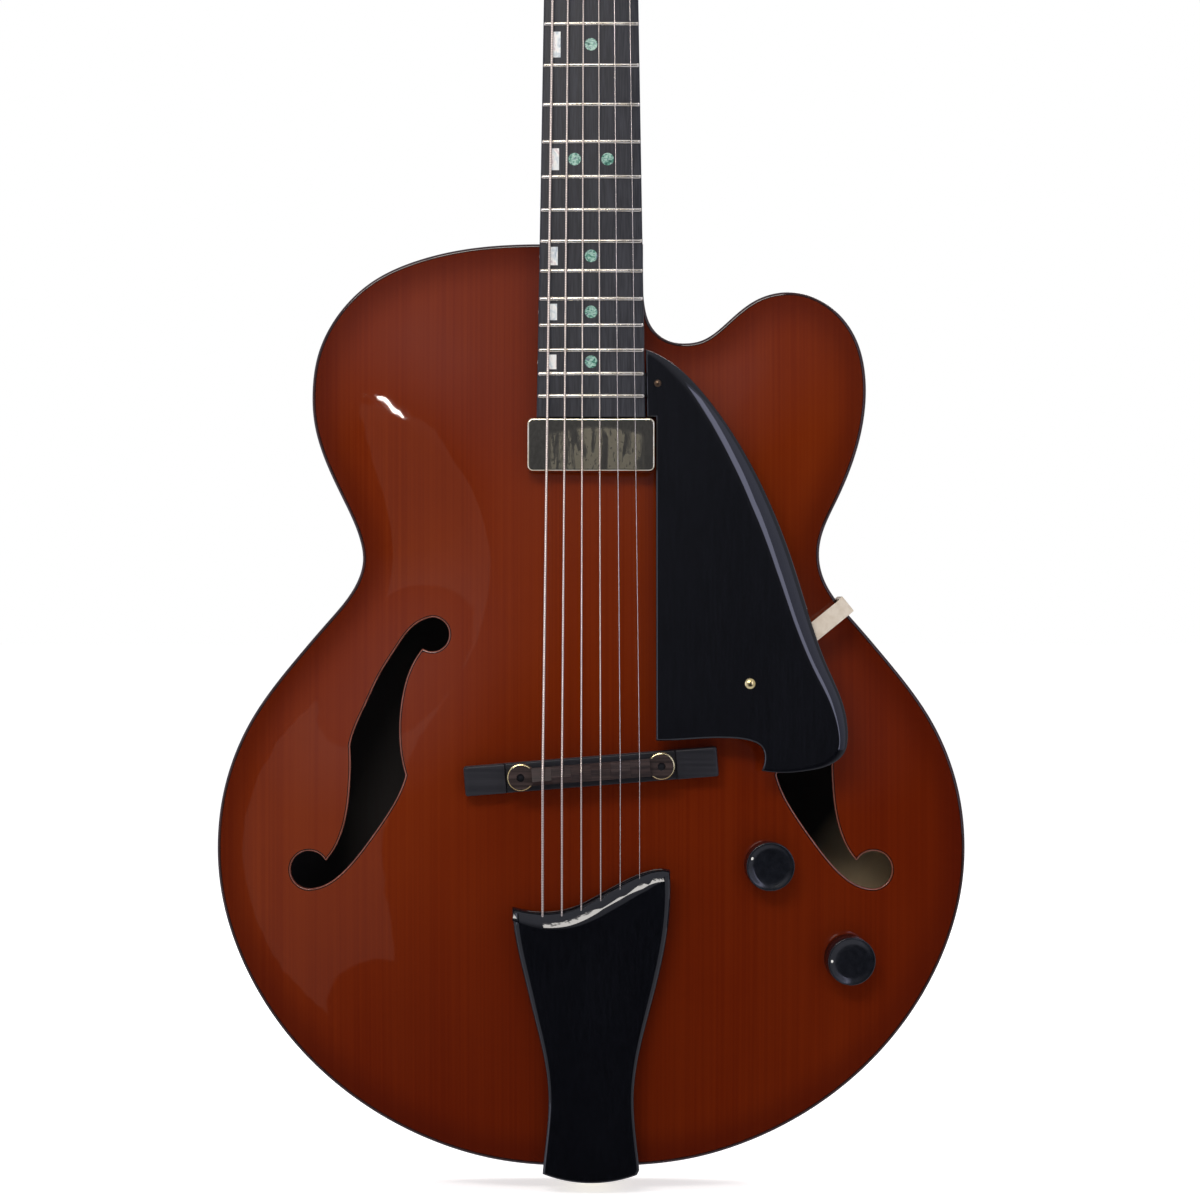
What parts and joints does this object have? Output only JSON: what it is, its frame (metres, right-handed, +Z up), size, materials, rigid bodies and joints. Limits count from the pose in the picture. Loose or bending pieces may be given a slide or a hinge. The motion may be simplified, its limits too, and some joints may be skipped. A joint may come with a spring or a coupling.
{
  "type": "archtop guitar",
  "caption": "Hollow archtop guitar with a round cutaway, bound f-holes, floating pickup and finger rest, adjustable wooden bridge and tailpiece, turning knobs and geared tuners.",
  "frame": {"origin": "where the end pin meets the rim at the tail, at the middle of the rim's depth", "axes": "+X to the treble side, +Y to the back, +Z up the neck"},
  "size_m": [0.397, 0.1158, 1.0295],
  "materials": {
    "top_wood": "gloss lacquer over red-brown stain",
    "body_wood": "gloss lacquer over red-brown stain",
    "inner_wood": "bare",
    "binding": "gloss",
    "ebony": "satin oiled",
    "ebony_gloss": "polished",
    "saddle_wood": "satin oiled",
    "knob_black": "gloss",
    "bracket_cream": "gloss",
    "bone": "polished",
    "pearl": "polished",
    "abalone": "polished",
    "gold": "gold plated",
    "fret_wire": "polished",
    "string_steel": "wound",
    "steel": "satin",
    "black_plastic": "matte"
  },
  "bodies": {
    "guitar": {"top_plate": "top_wood", "back_plate": "body_wood", "rim_bass": "body_wood", "rim_treble": "body_wood", "neck": "body_wood", "kerfed_linings": "inner_wood", "neck_block": "inner_wood", "tail_block": "inner_wood", "tone_bars": "inner_wood", "top_binding": "binding", "back_binding": "binding", "f_hole_bindings": "binding", "fingerboard": "ebony", "bridge_base": "ebony", "pickguard_block": "ebony", "tailpiece": "ebony_gloss", "headstock_veneer": "ebony_gloss", "pickguard": "ebony_gloss", "truss_rod_cover": "ebony_gloss", "pickguard_bracket": "bracket_cream", "nut": "bone", "block_inlays": "pearl", "side_dots": "pearl", "dot_inlays": "abalone", "bridge_posts": "gold", "pickup_cover": "gold", "tailpiece_bracket": "gold", "strap_buttons": "gold", "pickguard_screws": "gold", "wood_screws": "gold", "tuner_housings": "gold", "tuner_bushings": "gold", "control_nuts": "gold", "output_jack": "gold", "frets": "fret_wire", "strings": "string_steel", "truss_rod": "steel", "potentiometers": "steel", "pickup_mount": "steel", "pickup_core": "black_plastic", "wiring": "black_plastic"},
    "saddle": {"bridge_saddle": "saddle_wood"},
    "wheel_bass": {"thumbwheel_bass": "gold"},
    "wheel_treble": {"thumbwheel_treble": "gold"},
    "volume": {"volume_knob": "knob_black", "volume_shaft": "steel"},
    "tone": {"tone_knob": "knob_black", "tone_shaft": "steel"},
    "button_1": {"tuner_button_1": "gold"},
    "post_1": {"tuner_post_1": "gold"},
    "button_2": {"tuner_button_2": "gold"},
    "post_2": {"tuner_post_2": "gold"},
    "button_3": {"tuner_button_3": "gold"},
    "post_3": {"tuner_post_3": "gold"},
    "button_4": {"tuner_button_4": "gold"},
    "post_4": {"tuner_post_4": "gold"},
    "button_5": {"tuner_button_5": "gold"},
    "post_5": {"tuner_post_5": "gold"},
    "button_6": {"tuner_button_6": "gold"},
    "post_6": {"tuner_post_6": "gold"}
  },
  "joints": [
    {"name": "saddle_lift", "type": "slide", "parent": "guitar", "child": "saddle", "axis": [0, -1, 0], "range_m": [-0.002, 0.0025], "deforming": ["strings"]},
    {"name": "wheel_bass_turn", "type": "hinge", "parent": "saddle", "child": "wheel_bass", "pos_m": [-0.03688, -0.0555, 0.20781], "axis": [0, -1, 0], "range_deg": [-1028.5, 1285.5]},
    {"name": "wheel_treble_turn", "type": "hinge", "parent": "saddle", "child": "wheel_treble", "pos_m": [0.03688, -0.0555, 0.21375], "axis": [0, -1, 0], "range_deg": [-1028.5, 1285.5]},
    {"name": "volume_turn", "type": "hinge", "parent": "guitar", "child": "volume", "pos_m": [0.0932, -0.04226, 0.1611], "axis": [0.0774, -0.9969, -0.0129], "range_deg": [-150, 150]},
    {"name": "tone_turn", "type": "hinge", "parent": "guitar", "child": "tone", "pos_m": [0.1356, -0.03496, 0.1116], "axis": [0.1304, -0.9883, -0.0795], "range_deg": [-150, 150]},
    {"name": "tuner_1_button", "type": "hinge", "parent": "guitar", "child": "button_1", "pos_m": [-0.023, 0.01103, 0.8838], "axis": [-1, 0, 0], "continuous": true},
    {"name": "tuner_1_post", "type": "hinge", "parent": "guitar", "child": "post_1", "pos_m": [-0.023, -0.00978, 0.88297], "axis": [0, -0.9537, 0.3007], "continuous": true},
    {"name": "tuner_2_button", "type": "hinge", "parent": "guitar", "child": "button_2", "pos_m": [-0.0255, 0.02306, 0.92195], "axis": [-1, 0, 0], "continuous": true},
    {"name": "tuner_2_post", "type": "hinge", "parent": "guitar", "child": "post_2", "pos_m": [-0.0255, 0.00225, 0.92112], "axis": [0, -0.9537, 0.3007], "continuous": true},
    {"name": "tuner_3_button", "type": "hinge", "parent": "guitar", "child": "button_3", "pos_m": [-0.028, 0.03509, 0.9601], "axis": [-1, 0, 0], "continuous": true},
    {"name": "tuner_3_post", "type": "hinge", "parent": "guitar", "child": "post_3", "pos_m": [-0.028, 0.01428, 0.95927], "axis": [0, -0.9537, 0.3007], "continuous": true},
    {"name": "tuner_4_button", "type": "hinge", "parent": "guitar", "child": "button_4", "pos_m": [0.028, 0.03509, 0.9601], "axis": [1, 0, 0], "continuous": true},
    {"name": "tuner_4_post", "type": "hinge", "parent": "guitar", "child": "post_4", "pos_m": [0.028, 0.01428, 0.95927], "axis": [0, -0.9537, 0.3007], "continuous": true},
    {"name": "tuner_5_button", "type": "hinge", "parent": "guitar", "child": "button_5", "pos_m": [0.0255, 0.02306, 0.92195], "axis": [1, 0, 0], "continuous": true},
    {"name": "tuner_5_post", "type": "hinge", "parent": "guitar", "child": "post_5", "pos_m": [0.0255, 0.00225, 0.92112], "axis": [0, -0.9537, 0.3007], "continuous": true},
    {"name": "tuner_6_button", "type": "hinge", "parent": "guitar", "child": "button_6", "pos_m": [0.023, 0.01103, 0.8838], "axis": [1, 0, 0], "continuous": true},
    {"name": "tuner_6_post", "type": "hinge", "parent": "guitar", "child": "post_6", "pos_m": [0.023, -0.00978, 0.88297], "axis": [0, -0.9537, 0.3007], "continuous": true}
  ],
  "couplings": [
    {"joint": "saddle_lift", "follows": "wheel_bass_turn", "m_per_rad": 0.00011141},
    {"joint": "wheel_treble_turn", "follows": "wheel_bass_turn", "ratio": 1},
    {"joint": "tuner_1_post", "follows": "tuner_1_button", "ratio": -0.0625},
    {"joint": "tuner_2_post", "follows": "tuner_2_button", "ratio": -0.0625},
    {"joint": "tuner_3_post", "follows": "tuner_3_button", "ratio": -0.0625},
    {"joint": "tuner_4_post", "follows": "tuner_4_button", "ratio": 0.0625},
    {"joint": "tuner_5_post", "follows": "tuner_5_button", "ratio": 0.0625},
    {"joint": "tuner_6_post", "follows": "tuner_6_button", "ratio": 0.0625}
  ]
}
